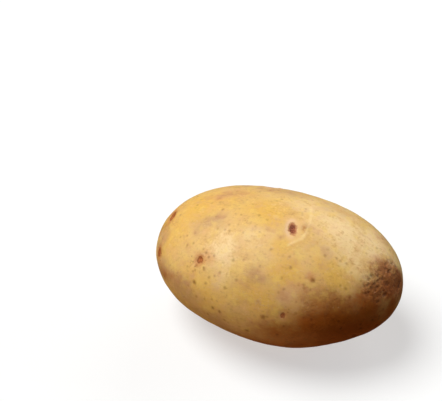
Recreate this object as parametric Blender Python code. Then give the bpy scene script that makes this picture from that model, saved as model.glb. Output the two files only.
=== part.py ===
"""A whole potato, one solid tuber resting on its side.

The rose end, where most of the eyes sit, points to -X, and the heel, where the tuber hung on its
stolon, points to +X. +Z is up, and the origin is under the middle of the tuber, on the ground.

A place on the skin is given by two values. ALONG runs from -1 at the rose end to +1 at the heel,
as a share of the half length. CLOCK is the angle round the long axis, in degrees, from straight
up (0) over the front, -Y (90), and the underside (180) to the back, +Y (270).
"""
import math
from collections import namedtuple

import bmesh
import bpy
from mathutils import Vector, noise
from mathutils.bvhtree import BVHTree

# Driving dimensions, in metres: the plain oval that the tuber is shaped from.
LENGTH = 0.100
WIDTH = 0.0666
THICKNESS = 0.0573
REST_DEPTH = 0.0012         # how much of the underside is lost to the flat it lies on
REST_SNAP = 0.00024         # vertices this close to the cut are moved onto it

# The sphere that becomes the tuber.
SPHERE_SUBDIVISIONS = 5
FINE_MESH_REACH = 1.3       # radius of the finer mesh round an eye, as a share of the eye's width

# Broad pulls, which turn the plain oval into this tuber.
PULL_REACH = 0.018          # standard deviation of each pull's bell-shaped falloff
SWELL_HEIGHT = 0.0004       # height of the slow swells all over the skin
SWELL_SPACING = 0.024       # distance from one swell to the next

# Eyes: hollows wider around the tuber than along it, with a low ridge round the rim.
EYE_STRETCH = 1.35          # width across the long axis over width along it
RIDGE_SHARE = 0.28          # height of the ridge over depth of the hollow
RIDGE_PLACE = 1.15          # distance of the ridge's crest from the eye's middle, in eye radii
RIDGE_SPREAD = 0.30         # width of the ridge, in eye radii

SKIN_COLOUR = (0.67, 0.41, 0.15, 1.0)
SKIN_ROUGHNESS = 0.5
SKIN_METALLIC = 0.0

HALF_SIZES = Vector((LENGTH / 2, WIDTH / 2, THICKNESS / 2))

Pull = namedtuple("Pull", "along clock push")
Hollow = namedtuple("Hollow", "along clock width depth")

# Positive pushes swell the skin outwards, negative ones flatten it.
PULLS = [
    Pull(-0.64, 310, 0.0035),       # full back shoulder of the rose end
    Pull(-0.96, 324, 0.0015),       # blunt rose end, back of its tip
    Pull(-0.98, 90, 0.0010),        # blunt rose end, front of its tip
    Pull(-0.22, 124, -0.0015),      # flattened lower flank
    Pull(0.64, 130, -0.0030),       # taper under the heel
    Pull(0.22, 304, 0.0015),        # long full back
    Pull(0.82, 297, 0.0015),        # back shoulder of the heel
    Pull(0.98, 270, -0.0020),       # cut-short heel
    Pull(0.96, 144, -0.0005),       # underside of the heel's tip
    Pull(-0.68, 214, 0.0030),       # full underside of the rose end
    Pull(0.66, 226, 0.0022),        # full lower back of the heel
    Pull(0.02, 246, -0.0014),       # flattened lower back
]

EYES = [
    Hollow(0.09, 9, 0.0060, 0.0008),        # on top
    Hollow(-0.55, 50, 0.0050, 0.0006),      # front, towards the rose end
    Hollow(0.18, 74, 0.0036, 0.0004),       # small one low on the front
    Hollow(-0.94, 354, 0.0056, 0.0008),     # top of the rose end
    Hollow(-0.94, 62, 0.0046, 0.0006),      # front of the rose end
    Hollow(-0.95, 215, 0.0050, 0.0008),     # underside of the rose end
    Hollow(-0.68, 262, 0.0054, 0.0007),     # back, towards the rose end
    Hollow(-0.52, 146, 0.0050, 0.0006),     # low on the front, near the rest
    Hollow(-0.22, 312, 0.0058, 0.0008),     # upper back
    Hollow(0.38, 250, 0.0060, 0.0008),      # lower back
    Hollow(0.58, 196, 0.0050, 0.0006),      # underside, towards the heel
    Hollow(0.70, 104, 0.0046, 0.0005),      # front, towards the heel
]
STOLON_SCAR = Hollow(0.93, 8, 0.0080, 0.0007)


def clear_scene():
    """Start from an empty scene."""
    for thing in list(bpy.data.objects):
        bpy.data.objects.remove(thing, do_unlink=True)


def round_the_axis(clock):
    """Unit direction away from the long axis at a clock angle."""
    angle = math.radians(clock)
    return Vector((0.0, -math.sin(angle), math.cos(angle)))


def oval_point(along, clock):
    """The point of the plain oval at ALONG and CLOCK."""
    direction = round_the_axis(clock)
    flat_share = math.hypot(direction.y / HALF_SIZES.y, direction.z / HALF_SIZES.z)
    radius = math.sqrt(1.0 - along * along) / flat_share
    return Vector((along * HALF_SIZES.x, 0.0, 0.0)) + direction * radius


def oval_normal(point):
    """The plain oval's outward normal at a point on it."""
    return Vector([value / half ** 2 for value, half in zip(point, HALF_SIZES)]).normalized()


def make_oval(hollows):
    """An even sphere, finer where the hollows will be, stretched to the plain oval."""
    bm = bmesh.new()
    bmesh.ops.create_icosphere(bm, subdivisions=SPHERE_SUBDIVISIONS, radius=1.0)
    for hollow in hollows:
        middle = oval_point(hollow.along, hollow.clock)
        reach = hollow.width * FINE_MESH_REACH
        near = [
            edge for edge in bm.edges
            if all((vert.co * HALF_SIZES - middle).length < reach for vert in edge.verts)
        ]
        bmesh.ops.subdivide_edges(bm, edges=near, cuts=1, use_grid_fill=True)
    for vert in bm.verts:
        vert.co = vert.co.normalized() * HALF_SIZES
    return bm


def pull_into_shape(bm):
    """Move every vertex by the sum of the pulls and the slow swells."""
    centres = [oval_point(pull.along, pull.clock) for pull in PULLS]
    moves = [oval_normal(centre) * pull.push for centre, pull in zip(centres, PULLS)]
    for vert in bm.verts:
        start = vert.co.copy()
        for centre, move in zip(centres, moves):
            distance = (start - centre).length / PULL_REACH
            vert.co += move * math.exp(-distance ** 2 / 2)
        swell = noise.noise(start / SWELL_SPACING)
        vert.co += oval_normal(start) * swell * SWELL_HEIGHT


def skin_at(tree, along, clock):
    """The point and the outward normal of the shaped skin at ALONG and CLOCK."""
    on_axis = Vector((along * HALF_SIZES.x, 0.0, 0.0))
    direction = round_the_axis(clock)
    point, normal, _, _ = tree.ray_cast(on_axis + direction * LENGTH, -direction)
    return point, normal


def hollow_profile(distance, depth):
    """Height of the skin over its old place, at a distance in hollow radii from the middle."""
    height = 0.0
    if distance < 1.0:
        height -= depth * (1.0 - distance ** 2) ** 2
    from_crest = (distance - RIDGE_PLACE) / RIDGE_SPREAD
    height += depth * RIDGE_SHARE * math.exp(-from_crest ** 2)
    return height


def press_hollows(bm, hollows):
    """Press the eyes and the scar into the skin."""
    tree = BVHTree.FromBMesh(bm)
    long_axis = Vector((1.0, 0.0, 0.0))
    for hollow in hollows:
        middle, normal = skin_at(tree, hollow.along, hollow.clock)
        across = normal.cross(long_axis).normalized()
        lengthwise = across.cross(normal)
        radius = hollow.width / 2
        for vert in bm.verts:
            offset = vert.co - middle
            if offset.length > hollow.width * FINE_MESH_REACH:
                continue
            sideways = offset.dot(across) / EYE_STRETCH
            distance = math.hypot(sideways, offset.dot(lengthwise)) / radius
            vert.co += normal * hollow_profile(distance, hollow.depth)


def flatten_underside(bm):
    """Cut the underside off level, and close the cut with one flat face."""
    rest_height = -HALF_SIZES.z + REST_DEPTH
    bmesh.ops.bisect_plane(
        bm,
        geom=bm.verts[:] + bm.edges[:] + bm.faces[:],
        dist=REST_SNAP,
        plane_co=(0.0, 0.0, rest_height),
        plane_no=(0.0, 0.0, -1.0),
        clear_outer=True,
    )
    rim = [edge for edge in bm.edges if edge.is_boundary]
    for edge in rim:
        for vert in edge.verts:
            vert.co.z = rest_height
    bmesh.ops.contextual_create(bm, geom=rim)
    for edge in rim:
        edge.smooth = False


def stand_on_origin(bm):
    """Move the tuber so that the origin is under the middle of its box."""
    lows = [min(vert.co[axis] for vert in bm.verts) for axis in range(3)]
    highs = [max(vert.co[axis] for vert in bm.verts) for axis in range(3)]
    shift = Vector((-(lows[0] + highs[0]) / 2, -(lows[1] + highs[1]) / 2, -lows[2]))
    bmesh.ops.translate(bm, verts=bm.verts, vec=shift)


def skin_material():
    """Dry golden skin, slightly waxy."""
    material = bpy.data.materials.new("potato_skin")
    material.use_nodes = True
    shader = material.node_tree.nodes["Principled BSDF"]
    shader.inputs["Base Color"].default_value = SKIN_COLOUR
    shader.inputs["Roughness"].default_value = SKIN_ROUGHNESS
    shader.inputs["Metallic"].default_value = SKIN_METALLIC
    return material


def make_potato():
    """The tuber as one closed solid."""
    hollows = EYES + [STOLON_SCAR]
    bm = make_oval(hollows)
    pull_into_shape(bm)
    press_hollows(bm, hollows)
    for face in bm.faces:
        face.smooth = True
    flatten_underside(bm)
    stand_on_origin(bm)
    bmesh.ops.recalc_face_normals(bm, faces=bm.faces)
    mesh = bpy.data.meshes.new("potato")
    bm.to_mesh(mesh)
    bm.free()
    mesh.materials.append(skin_material())
    potato = bpy.data.objects.new("potato", mesh)
    bpy.context.scene.collection.objects.link(potato)
    return potato


clear_scene()
make_potato()
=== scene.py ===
# %% [markdown]
# # A potato
#
# This notebook finishes one whole potato: an oval table potato with thin golden skin, lying on its
# side. A tuber is a swollen piece of stem. Its rose end, at -X, has most of the eyes, which are the
# buds of that stem. Its heel, at +X, is where it hung on the stolon that fed it, and there the skin
# is older, rougher and browner.
#
# The plain solid of the potato is already made and stays as it is, for weight and collision. It is
# loaded first, and everything below takes its size and place from it.

import math
import random
from collections import namedtuple

import bpy
import numpy
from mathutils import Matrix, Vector, noise


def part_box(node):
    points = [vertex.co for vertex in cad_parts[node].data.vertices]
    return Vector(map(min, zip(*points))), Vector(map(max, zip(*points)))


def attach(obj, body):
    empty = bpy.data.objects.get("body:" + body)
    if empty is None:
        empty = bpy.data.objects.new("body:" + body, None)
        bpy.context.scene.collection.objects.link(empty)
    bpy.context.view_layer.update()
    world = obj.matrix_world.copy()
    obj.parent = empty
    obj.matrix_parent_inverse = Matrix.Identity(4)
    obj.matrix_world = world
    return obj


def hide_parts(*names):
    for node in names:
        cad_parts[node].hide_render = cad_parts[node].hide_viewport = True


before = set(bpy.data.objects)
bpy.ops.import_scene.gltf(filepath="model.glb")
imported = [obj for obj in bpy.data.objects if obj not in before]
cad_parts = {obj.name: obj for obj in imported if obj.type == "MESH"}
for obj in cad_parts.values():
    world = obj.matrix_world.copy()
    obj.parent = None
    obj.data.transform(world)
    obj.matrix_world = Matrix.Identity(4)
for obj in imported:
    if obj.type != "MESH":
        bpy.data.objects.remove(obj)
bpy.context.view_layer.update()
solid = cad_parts["potato"]
low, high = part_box("potato")
middle = (low + high) / 2
print("potato, in mm:", [round(side * 1000, 1) for side in high - low])

# %% [markdown]
# ## Where it is seen from
#
# A potato lies low on a table and is looked at from above, from a little under half a metre away.
# A lens longer than the eye's keeps the oval free of the stretching that a wide lens gives. The
# camera doesn't point straight at the potato, so that it sits below the middle of the picture and
# a little to the right.

# %% Camera
VIEW_HEADING = 14.0       # degrees round the potato from its front
VIEW_HEIGHT = 45.0        # degrees above the table
VIEW_DISTANCE = 0.4206    # metres from the potato's middle
AIM_HEADING = 18.3        # the way the camera itself is turned
AIM_HEIGHT = 41.4         # how steeply it looks down


def direction(heading, height):
    """Unit vector from the potato towards a heading and a height, both in degrees."""
    heading = math.radians(heading)
    height = math.radians(height)
    level = math.cos(height)
    return Vector((math.sin(heading) * level, -math.cos(heading) * level, math.sin(height)))


bpy.ops.object.select_all(action="DESELECT")
bpy.ops.object.camera_add(location=middle + direction(VIEW_HEADING, VIEW_HEIGHT) * VIEW_DISTANCE)
camera = bpy.context.object
camera.rotation_euler = (math.radians(90 - AIM_HEIGHT), 0, math.radians(AIM_HEADING))
camera.data.lens = 85
camera.data.sensor_width = 36
camera.data.clip_start = 0.01
camera.data.clip_end = 20
bpy.context.scene.camera = camera
print("camera at", [round(value, 3) for value in camera.location])

# %% [markdown]
# ## The table and the light
#
# The potato lies on a plain white sheet that runs out of sight on all sides. One broad light stands
# high on the left, where it gives the skin its warm top and its soft, deep shade low on the right.
# A second, weaker one fills the front of the rose end. Two more behind the potato draw a pale line
# along its back and its heel, as daylight from a window does. The sheet itself throws no light up,
# because a white table would wash out the deep brown of the underside. A weak warm light from below
# stands for what little comes back, so the sheet mustn't cast a shadow. The surroundings do two
# things: the camera sees them as near-white, and the skin gets only a weak warm fill from them.

# %% Table, lights and surroundings
TABLE_WIDTH = 12.0
SHEET_GREY = (0.44, 0.45, 0.47, 1)
SHEET_GLOW = 0.52         # brings the grey sheet up to white, and keeps the shadow on it faint
FILL_COLOUR = (1.0, 0.45, 0.20, 1)
FILL_STRENGTH = 0.05
BACKDROP = (0.95, 0.95, 0.95, 1)


def lamp(name, heading, height, brightness, spread, colour):
    """A broad, distant light. BRIGHTNESS 1 makes a white card that faces it just white."""
    bpy.ops.object.light_add(type="SUN", location=middle + direction(heading, height))
    light = bpy.context.object
    light.name = name
    light.rotation_mode = "QUATERNION"
    light.rotation_quaternion = direction(heading, height).to_track_quat("Z", "Y")
    light.data.energy = brightness * math.pi
    light.data.angle = math.radians(spread)
    light.data.color = colour
    return light


bpy.ops.mesh.primitive_plane_add(size=TABLE_WIDTH, location=(0, 0, low.z))
table = bpy.context.object
table.name = "table"
table.visible_diffuse = False
table.visible_glossy = False
table.visible_shadow = False
table_finish = bpy.data.materials.new("white_sheet")
table_finish.use_nodes = True
table_shader = table_finish.node_tree.nodes["Principled BSDF"]
table_shader.inputs["Base Color"].default_value = SHEET_GREY
table_shader.inputs["Roughness"].default_value = 1.0
table_shader.inputs["Specular IOR Level"].default_value = 0.0
table_shader.inputs["Emission Color"].default_value = (1, 1, 1, 1)
table_shader.inputs["Emission Strength"].default_value = SHEET_GLOW
table.data.materials.append(table_finish)

lamps = [
    lamp("high_left_light", -84, 63, 1.04, 40, (1.0, 1.0, 0.95)),
    lamp("low_front_light", -54, 8, 0.24, 40, (1.0, 0.93, 0.80)),
    lamp("heel_light", 122, 18, 0.24, 30, (0.92, 0.96, 0.95)),
    lamp("back_light", 165, 28, 0.22, 40, (0.97, 0.97, 0.93)),
    lamp("table_light", -20, -62, 0.20, 40, (1.0, 0.55, 0.16)),
]

surroundings = bpy.data.worlds.new("surroundings")
bpy.context.scene.world = surroundings
surroundings.use_nodes = True
world_nodes = surroundings.node_tree.nodes
world_links = surroundings.node_tree.links
fill = world_nodes["Background"]
fill.inputs["Color"].default_value = FILL_COLOUR
fill.inputs["Strength"].default_value = FILL_STRENGTH
backdrop = world_nodes.new("ShaderNodeBackground")
backdrop.inputs["Color"].default_value = BACKDROP
chooser = world_nodes.new("ShaderNodeMixShader")
seen = world_nodes.new("ShaderNodeLightPath")
world_links.new(seen.outputs["Is Camera Ray"], chooser.inputs[0])
world_links.new(fill.outputs[0], chooser.inputs[1])
world_links.new(backdrop.outputs[0], chooser.inputs[2])
world_links.new(chooser.outputs[0], world_nodes["World Output"].inputs["Surface"])
bpy.context.scene.view_settings.view_transform = "Standard"
print("table", TABLE_WIDTH, "m wide,", len(lamps), "lights")

# %% [markdown]
# ## The tuber's body
#
# A potato could be turned from a profile, but it isn't round about its axis, and the poles of a
# turned shape pinch. A cube that is smoothed into a ball has no poles, and its faces are all
# nearly square and of nearly one size. So a cube is subdivided, rounded to a sphere, stretched to
# the size of the plain solid and wrapped onto it. A little smoothing takes away the flats of that
# solid's triangles, and one more subdivision gives the fine mesh that the eyes are pressed into.

# %% A ball of even squares
BALL_LEVELS = 6
SMOOTHING_ROUNDS = 10


def finish_modifiers(piece):
    """Apply a piece's modifiers, top to bottom."""
    bpy.context.view_layer.objects.active = piece
    for modifier in list(piece.modifiers):
        bpy.ops.object.modifier_apply(modifier=modifier.name)


def add_subdivision(piece, levels):
    """Smooth subdivision, the same in the view and in the render."""
    modifier = piece.modifiers.new("subdivision", "SUBSURF")
    modifier.levels = levels
    modifier.render_levels = levels


bpy.ops.object.select_all(action="DESELECT")
bpy.ops.mesh.primitive_cube_add(size=(high - low).x, location=middle)
skin = bpy.context.object
skin.name = "potato_skin"
add_subdivision(skin, BALL_LEVELS)
finish_modifiers(skin)
bpy.ops.object.mode_set(mode="EDIT")
bpy.ops.mesh.select_all(action="SELECT")
bpy.ops.transform.tosphere(value=1.0)
bpy.ops.object.mode_set(mode="OBJECT")
ball_size = max(skin.dimensions)
bpy.ops.object.mode_set(mode="EDIT")
bpy.ops.transform.resize(value=[side / ball_size for side in high - low])
bpy.ops.object.mode_set(mode="OBJECT")
bpy.ops.object.transform_apply(location=True, rotation=True, scale=True)
print("ball of", len(skin.data.polygons), "faces, in mm", [round(s * 1000, 1) for s in skin.dimensions])

# %% Wrap it onto the solid
wrap = skin.modifiers.new("wrap", "SHRINKWRAP")
wrap.target = solid
wrap.wrap_method = "NEAREST_SURFACEPOINT"
smooth = skin.modifiers.new("smooth", "SMOOTH")
smooth.factor = 0.5
smooth.iterations = SMOOTHING_ROUNDS
add_subdivision(skin, 1)
finish_modifiers(skin)
bpy.ops.object.shade_smooth()
print("skin of", len(skin.data.polygons), "faces, in mm", [round(s * 1000, 1) for s in skin.dimensions])

# %% [markdown]
# ## Finding a place on the skin
#
# Eyes and marks belong to places on a curved skin. Two values name a place, as a town has its
# latitude and longitude: how far along the tuber it is, from -1 at the rose end to 1 at the heel,
# and where on the clock it is, seen round the long axis, in degrees: 0 is straight up, 90 is the
# front and 270 the back. A ray from outside towards the axis then finds the skin. Each spot keeps
# three directions with it: out of the skin, lengthwise, and across.

# %% Spots on the skin
AXIS_MIDDLE = Vector((0.0023, -0.0005, 0.02745))    # the middle of the oval that the tuber follows
HALF_LENGTH = 0.050
MM = 0.001                # one millimetre, in metres

Spot = namedtuple("Spot", "point outward lengthwise across")


def spot_at(along, clock):
    """The spot on the skin at ALONG and CLOCK."""
    angle = math.radians(clock)
    away = Vector((0.0, -math.sin(angle), math.cos(angle)))
    on_axis = AXIS_MIDDLE + Vector((along * HALF_LENGTH, 0, 0))
    _, point, outward, _ = skin.ray_cast(on_axis + away * HALF_LENGTH * 2, -away)
    across = outward.cross(Vector((1, 0, 0))).normalized()
    return Spot(point, outward, across.cross(outward), across)


def read_points():
    """Places of all the skin's points, one row each."""
    places = numpy.empty(len(skin.data.vertices) * 3, dtype=numpy.float32)
    skin.data.vertices.foreach_get("co", places)
    return places.reshape(-1, 3).astype(float)


points = read_points()
rose_tip = spot_at(-0.97, 90)
print("rose end at x =", round(rose_tip.point.x, 4), "with", len(points), "points on the skin")

# %% [markdown]
# ## Painting with soft dabs
#
# The hollows of the eyes, and later the tints of the skin, are painted as weights, one value for
# each point of the mesh, as with a soft brush in weight paint mode. A dab is 1 at its middle and
# fades to 0 at its edge. The hand that paints isn't steady, and nor is a potato, so the points are
# first shaken a little by a slow noise, which makes the edge of every dab wander. The noise gets a
# fixed seed, because without one it would be another noise each time the notebook is run. A layer
# is a list of dabs, each given by its place, its radius in millimetres and its strength.

# %% Brushes
Dab = namedtuple("Dab", "along clock radius strength stretch turn", defaults=(1.0, 0.0))
noise.seed_set(1)


def fade(values):
    """Turn a straight ramp from 0 to 1 into a soft one."""
    values = numpy.clip(values, 0.0, 1.0)
    return values * values * (3.0 - 2.0 * values)


def shaken(places, spacing, amount):
    """Move places about by a slow noise."""
    shakes = [noise.noise_vector(Vector(place) / spacing) for place in places.tolist()]
    return places + numpy.array(shakes) * amount


def from_spot(places, spot, turn=0.0):
    """How far places are from a spot: the long way, the short way and off the skin."""
    offsets = places - numpy.array(spot.point)
    lengthwise = offsets @ numpy.array(spot.lengthwise)
    across = offsets @ numpy.array(spot.across)
    off_skin = offsets @ numpy.array(spot.outward)
    cosine = math.cos(math.radians(turn))
    sine = math.sin(math.radians(turn))
    return lengthwise * cosine + across * sine, across * cosine - lengthwise * sine, off_skin


def distances(places, spot, stretch=1.0, turn=0.0):
    """Distances from a spot, shorter along the way that a mark is stretched."""
    long_way, short_way, off_skin = from_spot(places, spot, turn)
    return numpy.sqrt((long_way / stretch) ** 2 + short_way ** 2 + off_skin ** 2)


def dab(places, spot, radius, stretch=1.0, turn=0.0):
    """Weights of one soft dab of the brush."""
    return fade(1.0 - distances(places, spot, stretch, turn) / radius)


def stroke(places, route, width):
    """Weights of one thin line, drawn through a route of (along, clock) places."""
    stops = [numpy.array(spot_at(along, clock).point) for along, clock in route]
    nearest = numpy.full(len(places), HALF_LENGTH)
    for start, end in zip(stops, stops[1:]):
        way = end - start
        share = numpy.clip((places - start) @ way / (way @ way), 0.0, 1.0)
        gaps = numpy.linalg.norm(places - start - share[:, None] * way, axis=1)
        nearest = numpy.minimum(nearest, gaps)
    return fade(1.0 - nearest / width)


wandering = shaken(points, spacing=22 * MM, amount=4 * MM)
wandering = shaken(wandering, spacing=7 * MM, amount=2.2 * MM)
trembling = shaken(points, spacing=2.5 * MM, amount=0.35 * MM)


def paint_layer(dabs):
    """One layer of paint: where dabs overlap, the stronger one shows."""
    layer = numpy.zeros(len(points))
    for one in dabs:
        spot = spot_at(one.along, one.clock)
        weights = dab(wandering, spot, one.radius * MM, one.stretch, one.turn)
        layer = numpy.maximum(layer, weights * one.strength)
    return layer


print("points wander by up to", round(float(abs(wandering - points).max()) / MM, 1), "mm")

# %% [markdown]
# ## The eyes
#
# Each eye is a shallow hollow with a small pit in it, where the bud sits, and a low curved brow on
# the heel's side, which is the scar of a scale leaf. The wide hollows are in the plain solid, so
# what is left is fine work. It is painted as weights, and a Displace modifier moves the skin in
# or out by them. On a thin-skinned potato like this one the eyes are hardly deeper than a fold.
# On the side away from the brow a fresh eye also has a pale halo, which is painted here too and
# used when the skin is coloured, like the distance of every point to its nearest eye.

# %% Eyes
Eye = namedtuple("Eye", "along clock width depth tone stretch turn", defaults=(1.3, 90))

# The width is in millimetres. The stretch is how much wider the eye is one way than the other,
# and the turn is the angle of that way from the long axis, so 90 is straight across. The tone is
# 0 for a corky orange-brown eye and 1 for a fresh purple-brown one.
EYES = [
    Eye(0.09, 9, 3.9, 0.8, 1.0, 1.8, 110),
    Eye(-0.55, 50, 3.0, 0.5, 0.0, 1.05),
    Eye(0.18, 74, 2.0, 0.35, 0.25, 1.5),
    Eye(-0.93, 352, 3.4, 0.4, 0.1, 1.5),
    Eye(-0.96, 60, 2.6, 0.4, 0.0, 1.6),
    Eye(-0.95, 215, 4.6, 0.8, 0.8),
    Eye(-0.68, 262, 5.0, 0.7, 0.9),
    Eye(-0.52, 146, 3.6, 0.5, 0.1),
    Eye(-0.22, 312, 5.4, 0.8, 0.8),
    Eye(0.38, 250, 5.6, 0.8, 0.7),
    Eye(0.58, 196, 4.0, 0.6, 0.2),
    Eye(0.70, 104, 3.4, 0.5, 0.2),
]

FULL_DEPTH = 0.8          # an eye of this depth is pressed in fully, others in proportion

# Radii and spreads of an eye's parts, as shares of the eye's own radius.
PIT_RADIUS = 0.80
BUD_RADIUS = 0.34
BROW_RADIUS = 1.05
BROW_SPREAD = 0.17
HALO_RADIUS = 1.2
HALO_SPREAD = 0.3
FAR_FROM_EYES = 9.0

pits = numpy.zeros(len(points))
brows = numpy.zeros(len(points))
buds = numpy.zeros(len(points))
halos = numpy.zeros(len(points))
eye_distance = numpy.full(len(points), FAR_FROM_EYES)
eye_tone = numpy.zeros(len(points))

for eye in EYES:
    spot = spot_at(eye.along, eye.clock)
    radius = eye.width * MM / 2
    reach = distances(trembling, spot, eye.stretch, eye.turn) / radius
    towards_heel, _, _ = from_spot(trembling, spot)
    strength = eye.depth / FULL_DEPTH
    pits = numpy.maximum(pits, fade(1.0 - reach / PIT_RADIUS) * strength)
    brow = numpy.exp(-((reach - BROW_RADIUS) / BROW_SPREAD) ** 2)
    brow = brow * fade(towards_heel / (0.8 * radius))
    brows = numpy.maximum(brows, brow * strength)
    buds = numpy.maximum(buds, dab(trembling, spot, BUD_RADIUS * radius) * strength)
    halo = numpy.exp(-((reach - HALO_RADIUS) / HALO_SPREAD) ** 2)
    halo = halo * fade(0.5 - towards_heel / (2.0 * radius))
    halos = numpy.maximum(halos, halo * eye.tone)
    nearer = reach < eye_distance
    eye_distance[nearer] = reach[nearer]
    eye_tone[nearer] = eye.tone
print(len(EYES), "eyes painted")

# %% Press them into the skin
FAINTEST = 0.002          # weights under this are left out
PIT_DEPTH = 0.55 * MM
BROW_HEIGHT = 0.22 * MM
BUD_HEIGHT = 0.30 * MM


def move_skin(name, weights, height):
    """Displace the skin by a height where the weights are 1, and less where they are less."""
    group = skin.vertex_groups.new(name=name)
    for index in numpy.nonzero(weights > FAINTEST)[0].tolist():
        group.add([index], float(weights[index]), "REPLACE")
    modifier = skin.modifiers.new(name, "DISPLACE")
    modifier.direction = "NORMAL"
    modifier.mid_level = 0.0
    modifier.strength = height
    modifier.vertex_group = name
    return modifier


move_skin("pits", pits, -PIT_DEPTH)
move_skin("brows", brows, BROW_HEIGHT)
move_skin("buds", buds, BUD_HEIGHT)
print("deepest pit", round(pits.max() * PIT_DEPTH / MM, 2), "mm")

# %% [markdown]
# ## Creases and scratches
#
# Skin that stops growing before the flesh does is pulled into fine pale creases, and the largest
# one runs past the heel's side of the big eye like a long eyebrow. Other thin lines are scratches
# from the harvest, healed brown. Both are drawn as strokes through a few places. A crease stands
# up a little, and a scratch lies a little deeper than the skin round it.

# %% Creases and scratches
CREASES = [
    [(0.16, -22), (0.19, -9), (0.195, 1), (0.19, 9), (0.17, 16), (0.13, 20), (0.10, 23)],
]
SCRATCHES = [
    [(0.07, 34), (0.12, 27)],
    [(-0.64, 61), (-0.58, 52), (-0.50, 41)],
    [(0.60, -15), (0.63, -18), (0.66, -17)],
]
CREASES_BY_CHANCE = 6
SCRATCHES_BY_CHANCE = 8
HIDDEN_CLOCKS = (125, 300)      # the sides where marks are put down by chance
CREASE_WIDTH = 1.1 * MM
CHANCE_CREASE_WIDTH = 0.9 * MM
CHANCE_CREASE_STRENGTH = 0.6
SCRATCH_WIDTH = 0.55 * MM
CREASE_HEIGHT = 0.10 * MM
SCRATCH_DEPTH = 0.08 * MM

chance = random.Random(11)
unsteady = shaken(points, spacing=6 * MM, amount=0.8 * MM)


def line_by_chance():
    """A short curved line somewhere on the hidden sides."""
    along = chance.uniform(-0.8, 0.8)
    clock = chance.uniform(*HIDDEN_CLOCKS)
    bend = chance.uniform(-6, 6)
    reach = chance.uniform(0.03, 0.09)
    swing = chance.uniform(-9, 9)
    steps = [-1.0, -0.5, 0.0, 0.5, 1.0]
    return [(along + reach * t, clock + swing * t + bend * (1 - t * t)) for t in steps]


def draw(routes, width):
    """One layer of thin lines, drawn with an unsteady hand."""
    drawn = numpy.zeros(len(points))
    for route in routes:
        drawn = numpy.maximum(drawn, stroke(unsteady, route, width))
    return drawn


chance_creases = [line_by_chance() for _ in range(CREASES_BY_CHANCE)]
chance_scratches = [line_by_chance() for _ in range(SCRATCHES_BY_CHANCE)]
weak_creases = draw(chance_creases, CHANCE_CREASE_WIDTH) * CHANCE_CREASE_STRENGTH
creases = numpy.maximum(draw(CREASES, CREASE_WIDTH), weak_creases)
scratches = draw(SCRATCHES + chance_scratches, SCRATCH_WIDTH)
move_skin("creases", creases, CREASE_HEIGHT)
move_skin("scratches", scratches, -SCRATCH_DEPTH)
print(len(CREASES) + len(SCRATCHES), "lines by hand,", CREASES_BY_CHANCE + SCRATCHES_BY_CHANCE, "by chance")

# %% [markdown]
# ## Rough skin at the heel
#
# Round the heel the skin has cracked and healed many times while the tuber swelled. It is corky
# there, with rows of small dents and with low ridges between them. The cork is painted first, with
# two weak dabs on the flank too, where the skin begins to turn brown. The dents are scattered along
# two routes across the heel, and only those that lie on cork are pressed in. A Displace modifier
# with a cloudy texture then roughens the cork. Weaker clouds over all of the skin give the faint
# unevenness that keeps its gloss from looking like plastic.

# %% Dents in the heel
CORK = [
    Dab(0.92, 0, 12, 1.0), Dab(0.87, 356, 9, 0.8), Dab(0.83, 18, 12, 1.1), Dab(0.77, 40, 9, 0.9),
    Dab(0.93, 205, 11, 0.8), Dab(0.36, 64, 9, 0.42), Dab(0.54, 58, 10, 0.42),
]
HEEL_ROUTE = [(0.94, -14), (0.89, 8), (0.83, 26), (0.76, 40), (0.70, 50)]
UNDER_ROUTE = [(0.95, 170), (0.93, 205), (0.90, 240)]
HEEL_RADIUS = 18          # half the thickness of the tuber near the heel, in millimetres
LAST_ALONG = 0.94         # nearer to the heel's tip a ray towards the axis can miss the skin
DENT_DEPTH = 0.26 * MM


def dent_rows(route, count, spread):
    """Dents scattered along a route, most of them within SPREAD millimetres of it."""
    pressed = numpy.zeros(len(points))
    for _ in range(count):
        step = chance.uniform(0, len(route) - 1.001)
        first, second = route[int(step)], route[int(step) + 1]
        share = step - int(step)
        stray_along = chance.gauss(0, spread * MM / HALF_LENGTH)
        stray_clock = math.degrees(chance.gauss(0, spread) / HEEL_RADIUS)
        along = first[0] + (second[0] - first[0]) * share + stray_along
        clock = first[1] + (second[1] - first[1]) * share + stray_clock
        spot = spot_at(min(along, LAST_ALONG), clock)
        radius = chance.uniform(0.7, 1.5) * MM
        one = dab(trembling, spot, radius, chance.uniform(1.0, 1.9), chance.uniform(20, 70))
        pressed = numpy.maximum(pressed, one * chance.uniform(0.3, 1.0))
    return pressed


cork = paint_layer(CORK)
dents = numpy.maximum(
    dent_rows(HEEL_ROUTE, count=80, spread=2.5),
    dent_rows(UNDER_ROUTE, count=40, spread=2.6),
)
dents = dents * fade(cork * 2.2)
move_skin("dents", dents, -DENT_DEPTH)
print("dents cover", round(float((dents > 0.3).mean()) * 100, 1), "% of the skin")

# %% Roughen the skin
SWELL_HEIGHT = 0.34 * MM
UNEVENNESS = 0.085 * MM
CORK_ROUGHNESS = 0.42 * MM


def cloudy(name, size, depth):
    """A cloudy texture for the Displace modifier."""
    texture = bpy.data.textures.new(name, "CLOUDS")
    texture.noise_scale = size
    texture.noise_depth = depth
    texture.noise_basis = "BLENDER_ORIGINAL"
    return texture


def roughen_skin(name, weights, texture, height):
    """Displace the skin up and down by a texture."""
    modifier = move_skin(name, weights, height)
    modifier.texture = texture
    modifier.texture_coords = "LOCAL"
    modifier.mid_level = 0.5


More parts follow.
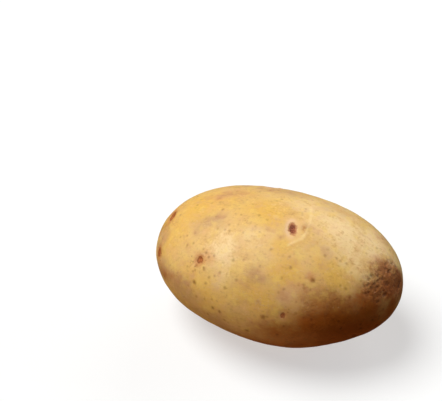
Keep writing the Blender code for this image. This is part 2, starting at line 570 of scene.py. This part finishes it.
all_over = numpy.ones(len(points))
roughen_skin("swells", all_over, cloudy("swells", 9 * MM, 1), SWELL_HEIGHT)
roughen_skin("unevenness", all_over, cloudy("unevenness", 2.6 * MM, 2), UNEVENNESS)
roughen_skin("cork", cork, cloudy("cork", 1.7 * MM, 2), CORK_ROUGHNESS)
finish_modifiers(skin)
skin.vertex_groups.clear()
print("skin, in mm", [round(s * 1000, 1) for s in skin.dimensions])

# %% Keep the underside on the table
flat_points = read_points()
sunk = flat_points[:, 2] < low.z
flat_points[sunk, 2] = low.z
skin.data.vertices.foreach_set("co", flat_points.astype(numpy.float32).ravel())
skin.data.update()
print(int(sunk.sum()), "points lifted onto the table")

# %% [markdown]
# ## The tints of the skin
#
# Potato skin has no one colour. It is thin, and the flesh, the sun, the soil and old knocks all
# tint it: gold, cream, a rosy blush, dull greyish bruises, tan, and brown where it has gone corky.
# The deep brown low on the front flank is partly the skin's own and partly painted shade, and a few
# of the dabs below are painted shade, and one is a painted rim of light, as the notes by them say.
# Each tint gets a painted layer of its own, stored on the mesh as an attribute that the material
# reads. The side that lies up is painted dab by dab. The rest is painted by chance, from a fixed
# seed, with the same tints, so that no side is left plain.

# %% Paint the tints
TINTS = {
    "gold": [
        Dab(-0.70, 352, 20, 1.0), Dab(-0.84, 14, 14, 0.8), Dab(-0.17, 355, 15, 1.1),
        Dab(-0.45, 350, 10, 0.8), Dab(0.06, 27, 9, 1.0), Dab(0.13, 44, 12, 1.1),
        Dab(0.49, 36, 11, 1.0), Dab(0.36, 34, 8, 0.6), Dab(-0.90, 40, 12, 0.8),
        Dab(-0.55, 82, 22, 0.9, 1.6), Dab(-0.05, 70, 15, 0.9, 1.6), Dab(-0.22, 40, 8, 0.3),
        Dab(0.62, 30, 8, 0.7),
    ],
    # Cream: the dab at (0.87, 336), on the heel's top edge, is partly a painted rim of reflected light.
    "cream": [
        Dab(-0.40, 40, 12, 1.0), Dab(-0.38, 28, 8, 0.7), Dab(0.50, 352, 22, 0.9, 1.5),
        Dab(0.60, 14, 13, 0.8), Dab(0.72, 354, 13, 1.0), Dab(0.42, 330, 18, 0.7),
        Dab(0.14, 338, 16, 0.5, 1.6), Dab(-0.16, 24, 9, 0.4), Dab(-0.36, 60, 9, 0.5),
        Dab(0.87, 336, 11, 1.0), Dab(0.17, 61, 4, 0.6, 2.2, 60), Dab(-0.37, 36, 7, 1.0),
    ],
    "blush": [
        Dab(-0.47, 337, 8, 1.0, 1.6), Dab(0.28, 55, 10, 0.5, 1.5, 30), Dab(0.35, 64, 8, 0.5),
        Dab(0.16, 60, 6, 0.6), Dab(0.34, 44, 4, 0.9), Dab(0.42, 50, 6, 0.4, 1.5),
        Dab(-0.06, 84, 12, 0.5), Dab(-0.50, 46, 5, 0.9, 1.4), Dab(0.76, 6, 8, 0.8, 1.5),
        Dab(0.30, 5, 12, 0.3), Dab(-0.58, 54, 4, 0.6, 2.0, 70),
    ],
    # Bruise: the long dabs along the low front edge of the rose end, at clocks 80 to 90, are partly bruise
    # colour and partly painted shade.
    "bruise": [
        Dab(-0.07, 52, 6, 0.9, 1.3, 30), Dab(-0.56, 14, 10, 0.8, 1.6), Dab(-0.48, 336, 6, 0.7, 1.5),
        Dab(0.40, 326, 10, 0.55, 1.5), Dab(-0.15, 320, 8, 0.6, 3.0), Dab(-0.88, 80, 9, 1.1, 1.6),
        Dab(-0.74, 84, 9, 1.0, 1.8), Dab(-0.97, 40, 9, 0.8), Dab(-0.34, 98, 10, 1.0, 2.6),
        Dab(-0.06, 99, 10, 0.8, 1.8), Dab(-0.62, 90, 10, 0.9, 1.8), Dab(0.31, 18, 9, 0.5),
        Dab(0.42, 8, 9, 0.2), Dab(0.02, 348, 7, 0.3), Dab(-0.14, 74, 7, 0.4),
    ],
    # Tan: (0.135, 8) is painted shade beside the big eye, (-0.97, 62) is painted shade at the rose end, and
    # the wide dabs low on the front lead into the brown flank and are partly painted shade.
    "tan": [
        Dab(0.32, 72, 12, 0.7, 1.5), Dab(0.10, 92, 13, 0.6, 1.5), Dab(0.56, 62, 12, 0.8, 1.5),
        Dab(0.72, 46, 11, 0.7, 1.3), Dab(0.83, 9, 9, 0.9), Dab(0.91, 345, 7, 0.7),
        Dab(0.34, 45, 3.5, 0.6), Dab(0.135, 8, 4.5, 1.2), Dab(-0.97, 62, 6, 0.6),
        Dab(0.46, 58, 10, 0.8, 1.8), Dab(-0.93, 352, 5, 1.1), Dab(-0.98, 5, 8, 0.9),
        Dab(-0.98, 110, 10, 0.8),
    ],
    # Brown: the wide dabs low on the front flank are partly the skin's own brown and partly painted shade,
    # and the two small dabs at the rose end, (-0.97, 63) and (-0.86, 86), are painted shade.
    "brown": [
        Dab(0.91, 8, 12, 0.8), Dab(0.88, 36, 13, 0.9), Dab(0.76, 68, 17, 1.0),
        Dab(0.93, 70, 13, 1.1), Dab(0.54, 82, 20, 1.2, 1.6), Dab(0.32, 96, 20, 1.2, 1.5),
        Dab(0.66, 112, 30, 1.2, 1.5), Dab(0.06, 118, 20, 1.1, 1.8), Dab(0.95, 190, 16, 0.6),
        Dab(-0.97, 63, 4, 0.6), Dab(-0.86, 86, 7, 0.7, 2.4),
    ],
}

# How many dabs of each tint are put down by chance, and their smallest and largest radius, in
# millimetres.
BY_CHANCE = {
    "gold": (9, 8, 18),
    "cream": (8, 8, 20),
    "blush": (8, 4, 11),
    "bruise": (8, 5, 11),
    "tan": (4, 5, 12),
    "brown": (3, 4, 9),
}
EYE_LAYER_END = 4.0       # past this many eye radii an eye hardly tints the skin


def dabs_by_chance(tint):
    """Dabs of a tint on the sides that the painted list leaves out."""
    count, smallest, largest = BY_CHANCE[tint]
    made = []
    for _ in range(count):
        along = chance.uniform(-0.85, 0.85)
        clock = chance.uniform(*HIDDEN_CLOCKS)
        radius = chance.uniform(smallest, largest)
        made.append(Dab(along, clock, radius, chance.uniform(0.4, 0.9), chance.uniform(1, 1.8)))
    return made


def store(name, values):
    """Keep a layer on the mesh for the material to read."""
    attribute = skin.data.attributes.new(name, "FLOAT", "POINT")
    attribute.data.foreach_set("value", values.astype(numpy.float32))


for tint, dabs in TINTS.items():
    layer = paint_layer(dabs + dabs_by_chance(tint))
    store(tint, layer)
    print(tint, "covers", round(float((layer > 0.3).mean()) * 100), "% of the skin")

store("eye_distance", numpy.minimum(eye_distance, EYE_LAYER_END))
store("eye_tone", eye_tone)
store("halos", halos)
store("creases", creases)
store("scratches", scratches)
store("dents", dents)
store("cork", cork)

# %% [markdown]
# ## Writing a material as sums
#
# A material is a net of small nodes, and most of them only add or multiply. Written out one by one
# they hide the idea, so a small class wraps a socket and lets Python's own signs make the nodes:
# `1 - mask` is then a Subtract node. Colours go through Mix nodes, because sums on a colour would
# turn it grey. Every other node comes from one method, which is told the kind of the node, its
# settings, and what goes into its sockets.

# %% Sums that make nodes
class Value:
    """One socket of a material, usable in sums."""

    def __init__(self, finish, socket):
        self.finish = finish
        self.socket = socket

    def __add__(self, other):
        return self.finish.maths("ADD", self, other)

    def __sub__(self, other):
        return self.finish.maths("SUBTRACT", self, other)

    def __rsub__(self, other):
        return self.finish.maths("SUBTRACT", other, self)

    def __mul__(self, other):
        return self.finish.maths("MULTIPLY", self, other)

    __radd__ = __add__
    __rmul__ = __mul__


class Finish:
    """A material that is being written."""

    def __init__(self, name):
        self.material = bpy.data.materials.new(name)
        self.material.use_nodes = True
        self.tree = self.material.node_tree
        self.shader = self.tree.nodes["Principled BSDF"]

    def plug(self, value, socket):
        """Link a value to a socket, or set the socket to it."""
        if isinstance(value, Value):
            self.tree.links.new(value.socket, socket)
        else:
            socket.default_value = value

    def node(self, kind, settings=None, inputs=None, output=0):
        """Any node: its kind, its settings, what goes in, and which output comes back."""
        made = self.tree.nodes.new(kind)
        for name, setting in (settings or {}).items():
            setattr(made, name, setting)
        for name, value in (inputs or {}).items():
            self.plug(value, made.inputs[name])
        return Value(self, made.outputs[output])

    def maths(self, operation, first, second):
        """One Math node."""
        return self.node("ShaderNodeMath", {"operation": operation}, {0: first, 1: second})

    def mix(self, amount, first, second):
        """The second colour laid over the first."""
        settings = {"data_type": "RGBA", "blend_type": "MIX", "clamp_factor": True}
        return self.node("ShaderNodeMix", settings, {0: amount, 6: first, 7: second}, 2)

    def step(self, value, start, end, low=0.0, high=1.0):
        """A soft step from LOW to HIGH while the value goes from START to END."""
        inputs = {"Value": value, "From Min": start, "From Max": end, "To Min": low, "To Max": high}
        return self.node("ShaderNodeMapRange", {"interpolation_type": "SMOOTHSTEP"}, inputs)

    def noise(self, size, detail=2.0, roughness=0.5, place=None, output=0):
        """Cloudy noise, with clouds about SIZE millimetres apart."""
        inputs = {"Scale": 1 / (size * MM), "Detail": detail, "Roughness": roughness}
        inputs["Vector"] = place or self.place
        return self.node("ShaderNodeTexNoise", {"noise_dimensions": "3D"}, inputs, output)

    def cells(self, size, output=0):
        """Scattered seeds, about SIZE millimetres apart."""
        inputs = {"Scale": 1 / (size * MM), "Vector": self.place}
        return self.node("ShaderNodeTexVoronoi", {"feature": "F1"}, inputs, output)

    def layer(self, name):
        """A painted layer."""
        return self.node("ShaderNodeAttribute", {"attribute_name": name}, output="Fac")

    def distance_to(self, point, place):
        """Distance from a place to a point, in millimetres."""
        inputs = {0: place, 1: tuple(point)}
        return self.node("ShaderNodeVectorMath", {"operation": "DISTANCE"}, inputs, "Value") * (1 / MM)


def colour(red, green, blue):
    """A colour as the eye counts it, 0 to 255, turned into light."""
    shares = [value / 255 for value in (red, green, blue)]
    light = [s / 12.92 if s <= 0.04045 else ((s + 0.055) / 1.055) ** 2.4 for s in shares]
    return (*light, 1.0)


peel = Finish("potato_peel")
peel.place = peel.node("ShaderNodeTexCoord", output="Object")
print("gold skin as light:", [round(value, 3) for value in colour(214, 170, 96)])

# %% [markdown]
# ## The skin's own colour
#
# Cream, gold and the other tints lie over each other like washes of watercolour. Noise of three
# sizes breaks the edge of each wash, so that none of them ends in a smooth curve. Finer noise then
# makes the skin a little lighter and darker from one millimetre to the next, and a stretched noise
# lays faint slanting streaks in it, the beginning of the netting that old skin has. Blotches a few
# millimetres wide, some lemon and some pinkish, come last.

# %% Washes
slow = peel.noise(11, detail=3.0, roughness=0.55)
middling = peel.noise(3.6, detail=3.0, roughness=0.6)
fine = peel.noise(0.9, detail=2.0, roughness=0.6)
ragged = (slow - 0.5) * 1.4 + (middling - 0.5) * 1.0 + (fine - 0.5) * 0.3


def cover(tint, strength=1.0, wildness=1.0, full=1.05):
    """How far a tint covers. WILDNESS is how raggedly it ends, FULL the paint it takes to cover.

    With a negative WILDNESS a tint comes forward where the others draw back.
    """
    return peel.step(peel.layer(tint) + ragged * wildness, 0.0, full, 0.0, strength)


BARE = colour(221, 180, 110)
BARE_LIGHT = colour(225, 188, 120)
GOLD = colour(225, 179, 88)
CREAM = colour(240, 212, 160)
BLUSH = colour(210, 146, 98)
BRUISE = colour(180, 138, 104)
TAN = colour(176, 117, 57)

tone = peel.mix(peel.step(slow, 0.38, 0.62), BARE, BARE_LIGHT)
tone = peel.mix(cover("gold", 0.95), tone, GOLD)
tone = peel.mix(cover("cream", 0.90), tone, CREAM)
tone = peel.mix(cover("blush", 0.70, 1.2), tone, BLUSH)
tone = peel.mix(cover("bruise", 0.70, 0.8), tone, BRUISE)
tone = peel.mix(cover("tan", 0.85, -0.8, 1.1), tone, TAN)
print("washes:", ", ".join(TINTS))

# %% Mottling and streaks
MOTTLE_LIGHT = colour(245, 216, 160)
MOTTLE_DARK = colour(172, 118, 62)
SCUFF = colour(168, 112, 58)
CREASE = colour(248, 222, 166)
SCRATCH = colour(158, 98, 52)
LEMON = colour(236, 202, 108)
PINKISH = colour(222, 174, 126)

streak_place = peel.node(
    "ShaderNodeMapping",
    {"vector_type": "POINT"},
    {"Vector": peel.place, "Rotation": (0.0, 0.0, math.radians(35)), "Scale": (0.35, 1.6, 1.0)},
)
streaks = peel.noise(1.5, detail=3.0, roughness=0.65, place=streak_place)
mottle = (middling - 0.5) * 0.45 + (fine - 0.5) * 0.45 + (streaks - 0.5) * 0.45
lighter = peel.step(mottle, 0.02, 0.22, 0.0, 0.35)
darker = peel.step(mottle, -0.02, -0.22, 0.0, 0.34)
tone = peel.mix(lighter, tone, MOTTLE_LIGHT)
tone = peel.mix(darker, tone, MOTTLE_DARK)
scuffs = peel.step(streaks, 0.60, 0.74)
tone = peel.mix(scuffs * 0.30, tone, SCUFF)
tone = peel.mix(peel.layer("creases") * 0.50, tone, CREASE)
tone = peel.mix(peel.layer("scratches") * 0.35, tone, SCRATCH)
blotches = peel.noise(4.2, detail=2.0, roughness=0.6)
tone = peel.mix(peel.step(blotches, 0.50, 0.68, 0.0, 0.34), tone, LEMON)
tone = peel.mix(peel.step(blotches, 0.48, 0.32, 0.0, 0.28), tone, PINKISH)
print("mottled, with", len(peel.tree.nodes), "nodes so far")

# %% [markdown]
# ## Lenticels
#
# The dots all over a potato are lenticels, the pores it breathes through. Each is a tiny corky
# spot, half a millimetre to a millimetre wide, brown in the middle. A Voronoi texture scatters
# seeds evenly through space, and the skin cuts through them: a seed right at the skin makes a full
# dot, and one just under it a faint one, so the dots differ as real ones do. The largest ones are
# put down one by one, at their own places.

# %% Dots by chance
def dots(size, radius, share):
    """Dots of a radius in millimetres, from seeds that lie SIZE apart; SHARE of them show."""
    distance = peel.cells(size) * size
    luck = peel.node("ShaderNodeSeparateColor", inputs={0: peel.cells(size, output=1)})
    shown = peel.step(luck, 1 - share, 1 - share + 0.25)
    edge = distance + (fine - 0.5) * radius * 0.9
    return peel.step(edge, radius * 1.3, radius * 0.1) * shown


small_dots = dots(3.3, 0.66, 0.8)
large_dots = dots(5.6, 0.85, 0.6)
specks = dots(2.3, 0.32, 0.6)
print("three sizes of dots, with", len(peel.tree.nodes), "nodes so far")

# %% Dots put down one by one
Dot = namedtuple("Dot", "along clock radius strength", defaults=(0.45,))

# Their radii are in millimetres.
DOTS = [
    Dot(-0.28, 44, 1.0), Dot(0.38, 24, 1.0), Dot(0.16, 40, 1.0), Dot(0.34, 45, 1.3, 0.8),
    Dot(-0.56, 69, 1.3, 0.8), Dot(-0.09, 95, 1.4, 0.8), Dot(0.03, 78, 1.4, 0.7),
    Dot(-0.53, 81, 1.0), Dot(-0.38, 84, 1.1, 0.7), Dot(-0.32, 85, 1.1, 0.7), Dot(0.58, 46, 1.1),
    Dot(0.39, 80, 1.1), Dot(-0.69, 40, 0.9), Dot(-0.54, 46.5, 0.9, 0.7), Dot(-0.565, 55, 1.0, 0.7),
    Dot(-0.57, 59, 0.8), Dot(-0.51, 43, 0.9, 0.6), Dot(-0.48, 46, 0.8, 0.6),
    Dot(-0.50, 55, 0.8, 0.6), Dot(-0.44, 44, 0.9), Dot(0.62, 52, 1.0), Dot(-0.22, 57, 1.0),
    Dot(-0.02, 30, 0.9, 0.4), Dot(-0.36, 55, 1.0), Dot(-0.44, 61, 1.0), Dot(-0.46, 66, 1.0),
    Dot(-0.64, 37, 0.9), Dot(0.29, 52, 0.9), Dot(0.40, 78, 1.0, 0.6), Dot(-0.955, 60, 1.5, 0.8),
]
UNEVEN_BY = 0.5 * MM      # how far noise moves the outline of a dot
SMALL_DOT = colour(156, 106, 50)
LARGE_DOT = colour(150, 100, 44)
SPECK = colour(140, 90, 40)
PLACED_DOT = colour(136, 86, 32)

shaky_place = peel.node(
    "ShaderNodeVectorMath",
    {"operation": "MULTIPLY_ADD"},
    {0: peel.noise(0.8, output="Color"), 1: (UNEVEN_BY,) * 3, 2: peel.place},
)
mean_shake = Vector((UNEVEN_BY / 2,) * 3)
placed_dots = None
for dot in DOTS:
    distance = peel.distance_to(spot_at(dot.along, dot.clock).point + mean_shake, shaky_place)
    mark = peel.step(distance, dot.radius * 1.1, 0.0, 0.0, dot.strength)
    placed_dots = mark if placed_dots is None else peel.maths("MAXIMUM", placed_dots, mark)

tone = peel.mix(small_dots * 0.40, tone, SMALL_DOT)
tone = peel.mix(large_dots * 0.52, tone, LARGE_DOT)
tone = peel.mix(specks * 0.20, tone, SPECK)
tone = peel.mix(placed_dots, tone, PLACED_DOT)
print(len(DOTS), "dots by hand")

# %% [markdown]
# ## The brown flank
#
# Low on the front, towards the heel, the skin is painted a deep brown, partly its own brown and
# partly painted shade. The brown lies over the washes and the dots, so it is mixed in after them.
# Where the skin is worn it shows lighter and redder, in dark patches it is nearly black, and the
# pores stay visible as dark points.

# %% Brown and painted shade on the flank
BROWN_AND_SHADE = colour(158, 80, 6)
WORN = colour(194, 118, 54)
DARK_PATCH = colour(96, 46, 6)
PORE = colour(84, 40, 10)

browned_and_shaded = cover("brown", 0.95, 0.70, 1.0)
worn = peel.step(mottle + (middling - 0.5) * 0.5, -0.04, 0.26) * browned_and_shaded
dark_patches = peel.step(mottle + (blotches - 0.5) * 0.6, 0.0, -0.24) * browned_and_shaded
pores = peel.maths("MAXIMUM", peel.maths("MAXIMUM", small_dots, large_dots), placed_dots) * browned_and_shaded
tone = peel.mix(browned_and_shaded, tone, BROWN_AND_SHADE)
tone = peel.mix(worn * 0.30, tone, WORN)
tone = peel.mix(dark_patches * 0.34, tone, DARK_PATCH)
tone = peel.mix(pores * 0.50, tone, PORE)
print("brown laid over the dots")

# %% [markdown]
# ## Corky brown at the heel
#
# The heel is reddish brown cork. Its dents are painted nearly black, the ridges between them are a
# worn pinkish tan, and where a crumb has come off there is a pale fleck. The painted layers say
# where the cork and the dents are, and noise breaks their edges.

# %% Scab
SCAB = colour(136, 72, 18)
RIDGE = colour(178, 112, 62)
DENT = colour(68, 28, 4)
FLECK = colour(212, 164, 134)

cork_paint = peel.layer("cork")
crumbs = peel.noise(1.9, detail=4.0, roughness=0.7)
crevices = peel.noise(1.1, detail=3.0, roughness=0.7)
scab = peel.step(cork_paint + (crumbs - 0.5) * 1.1 + (middling - 0.5) * 0.6, 0.06, 0.80)
dent = peel.step(peel.layer("dents") + (crevices - 0.5) * 0.8, 0.12, 0.95)
ridge = peel.step(crevices, 0.50, 0.66) * scab
tone = peel.mix(scab * 0.76, tone, SCAB)
tone = peel.mix(ridge * 0.40, tone, RIDGE)
tone = peel.mix(dent * 0.54, tone, DENT)
flecks = dots(1.9, 0.34, 0.25) * peel.step(cork_paint, 0.1, 0.5)
tone = peel.mix(flecks * 0.7, tone, FLECK)
print("scab painted")

# %% [markdown]
# ## The colour of the eyes
#
# Round a fresh eye the skin is pulled tight and pale, and round a corky one it is tan, with a
# crust of brown crumbs. The pit itself is purple-brown in a fresh eye and orange-brown in a corky
# one, darkest round the bud. The distance to the eye's middle, counted in eye radii, was kept when
# the eyes were pressed in, and steps on it give rings, which noise makes uneven. Each ring has a
# corky colour and a fresh one, mixed by how fresh the eye is. The pale rings and the dark middle
# fade where the flank is brown.

# %% Rings round the eyes
CORKY_HALO = colour(192, 122, 66)
FRESH_HALO = colour(228, 186, 132)
CORKY_RIM = colour(132, 66, 26)
FRESH_RIM = colour(170, 104, 70)
CORKY_DARK = colour(158, 88, 40)
FRESH_DARK = colour(104, 46, 26)
CORKY_LIGHT = colour(184, 112, 58)
FRESH_LIGHT = colour(152, 84, 58)
PALE_HALO = colour(232, 194, 166)
CRUST = colour(132, 68, 26)

reach = peel.layer("eye_distance") + (fine - 0.5) * 0.55 + (middling - 0.5) * 0.5
freshness = peel.layer("eye_tone")
halo = peel.step(reach, 2.3, 1.0)
rim = peel.step(reach, 1.05, 0.78)
core = peel.step(reach, 0.72, 0.45)
lumps = peel.step(crevices, 0.43, 0.57)
halo_tone = peel.mix(freshness, CORKY_HALO, FRESH_HALO)
rim_tone = peel.mix(freshness, CORKY_RIM, FRESH_RIM)
dark_tone = peel.mix(freshness, CORKY_DARK, FRESH_DARK)
light_tone = peel.mix(freshness, CORKY_LIGHT, FRESH_LIGHT)
core_tone = peel.mix(lumps, dark_tone, light_tone)
clean = 1 - browned_and_shaded * 0.9
tone = peel.mix(halo * clean * 0.55, tone, halo_tone)
tone = peel.mix(peel.layer("halos") * clean * 0.62, tone, PALE_HALO)
tone = peel.mix(rim * 0.8, tone, rim_tone)
tone = peel.mix(core * (1 - browned_and_shaded * 0.7) * 0.95, tone, core_tone)
crust = dots(1.3, 0.36, 0.6) * peel.step(reach, 4.2, 1.4) * (1 - freshness)
tone = peel.mix(crust * 0.85, tone, CRUST)
peel.plug(tone, peel.shader.inputs["Base Color"])
print("eyes coloured")

# %% [markdown]
# ## Gloss and fine relief
#
# Dry potato skin has a soft sheen, like paper that was waxed long ago. Cork has none. So roughness
# goes up in the scab, in the eyes and on the dots. A Bump node adds the relief that is too fine
# for the mesh: the grain of the skin, the little mounds of the lenticels and the crumbs of cork.

# %% Gloss and bump
dot_mounds = peel.maths("MAXIMUM", large_dots, placed_dots)
dull = peel.maths("MAXIMUM", scab, rim)
gloss = 0.47 + (middling - 0.5) * 0.16 + (fine - 0.5) * 0.12 + dot_mounds * 0.12
peel.plug(gloss + dull * 0.28, peel.shader.inputs["Roughness"])

grain = peel.noise(0.42, detail=2.0, roughness=0.6)
relief = (grain - 0.5) * 0.040 + (fine - 0.5) * 0.060 + (streaks - 0.5) * 0.045
relief = relief + dot_mounds * 0.05 + small_dots * 0.025
relief = relief + (crevices - 0.5) * peel.step(cork_paint, 0.05, 0.7) * 0.40 - dent * 0.12
bump = peel.node("ShaderNodeBump", inputs={"Strength": 1.0, "Distance": MM, "Height": relief})
peel.plug(bump, peel.shader.inputs["Normal"])
peel.shader.inputs["IOR"].default_value = 1.42
peel.shader.inputs["Specular IOR Level"].default_value = 0.38
peel.shader.inputs["Subsurface Weight"].default_value = 0.12
peel.shader.inputs["Subsurface Radius"].default_value = (1.0, 0.45, 0.15)
peel.shader.inputs["Subsurface Scale"].default_value = 2.5 * MM
skin.data.materials.append(peel.material)
print(len(peel.tree.nodes), "nodes in the peel")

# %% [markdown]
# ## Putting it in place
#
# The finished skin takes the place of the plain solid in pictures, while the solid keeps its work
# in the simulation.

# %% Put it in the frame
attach(skin, "root")
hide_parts("potato")
bpy.context.view_layer.update()
